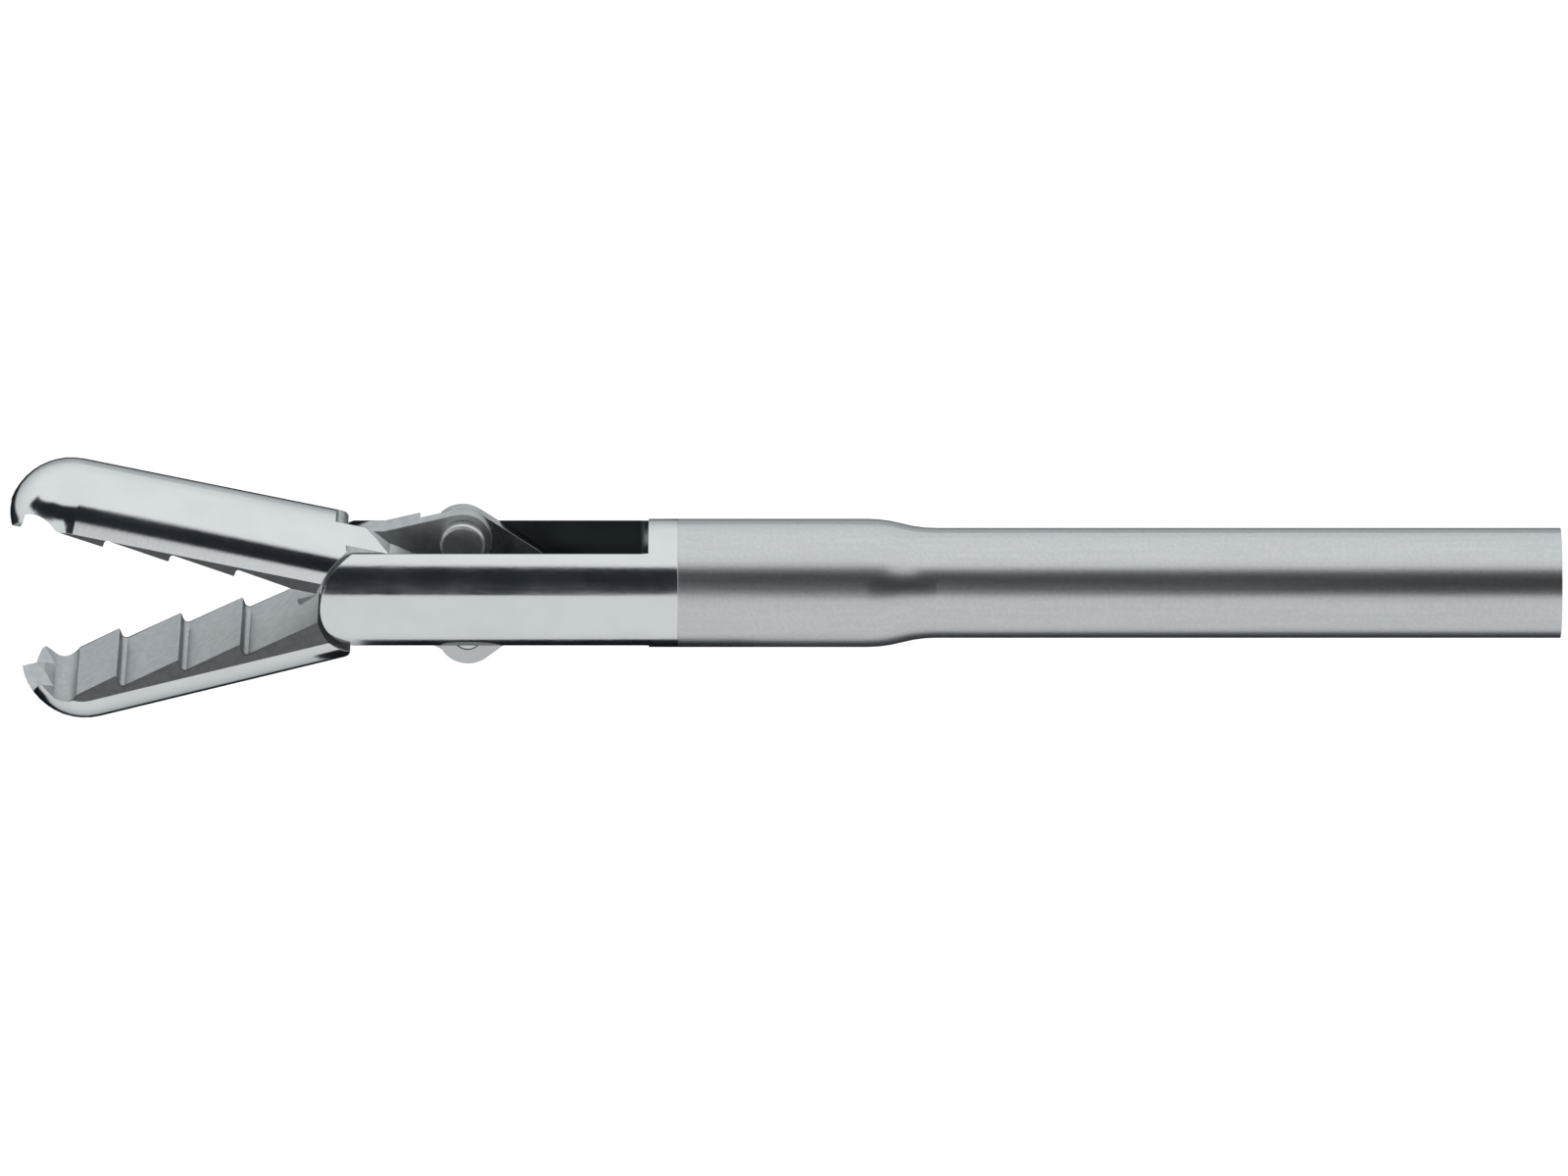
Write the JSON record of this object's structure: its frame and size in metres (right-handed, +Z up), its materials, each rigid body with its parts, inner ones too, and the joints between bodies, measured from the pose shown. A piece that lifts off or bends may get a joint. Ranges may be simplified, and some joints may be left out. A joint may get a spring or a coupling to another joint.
{
  "type": "forceps",
  "caption": "Working end of slim grasping forceps: two toothed jaws pivoting in a slotted fork, with crossed arms, links and a pull rod in a tube.",
  "frame": {"origin": "on the shaft axis, at the centre of the rear end of the tube", "axes": "+X along the shaft away from the jaws, Y along the pivot pins, +Z up with the upper jaw above"},
  "size_m": [0.0422, 0.0036, 0.0075],
  "materials": {
    "polished_steel": "polished",
    "matte_steel": "bead blasted",
    "pin_steel": "turned and polished",
    "rod_steel": "drawn",
    "bush_polymer": "machined"
  },
  "bodies": {
    "shaft": {"fork": "polished_steel", "shaft_tube": "matte_steel", "jaw_pin": "pin_steel", "rod_bush": "bush_polymer"},
    "rod": {"drive_rod": "rod_steel", "rod_head": "rod_steel", "rod_pin": "pin_steel"},
    "upper": {"upper_jaw": "polished_steel", "upper_jaw_link_pin": "pin_steel"},
    "lower": {"lower_jaw": "polished_steel", "lower_jaw_link_pin": "pin_steel"},
    "upper_link": {"upper_jaw_link": "polished_steel"},
    "lower_link": {"lower_jaw_link": "polished_steel"}
  },
  "joints": [
    {"name": "rod_pull", "type": "slide", "parent": "shaft", "child": "rod", "axis": [1, 0, 0], "range_m": [0, 0.00049]},
    {"name": "upper_jaw_pivot", "type": "hinge", "parent": "shaft", "child": "upper", "pos_m": [-0.03225, 0, 0], "axis": [0, -1, 0], "range_deg": [0, 12.55]},
    {"name": "lower_jaw_pivot", "type": "hinge", "parent": "shaft", "child": "lower", "pos_m": [-0.03225, 0, 0], "axis": [0, 1, 0], "range_deg": [0, 14.92]},
    {"name": "upper_link_knuckle", "type": "hinge", "parent": "upper", "child": "upper_link", "pos_m": [-0.02978, 0, -0.00113], "axis": [0, 1, 0], "range_deg": [0, 32.76]},
    {"name": "lower_link_knuckle", "type": "hinge", "parent": "lower", "child": "lower_link", "pos_m": [-0.02992, 0, 0.00109], "axis": [0, -1, 0], "range_deg": [0, 35.84]}
  ],
  "couplings": [
    {"joint": "upper_jaw_pivot", "follows": "rod_pull", "rad_per_m": 446.56},
    {"joint": "lower_jaw_pivot", "follows": "rod_pull", "rad_per_m": 531.23},
    {"joint": "upper_link_knuckle", "follows": "rod_pull", "rad_per_m": 1166.6},
    {"joint": "lower_link_knuckle", "follows": "rod_pull", "rad_per_m": 1276.3}
  ]
}
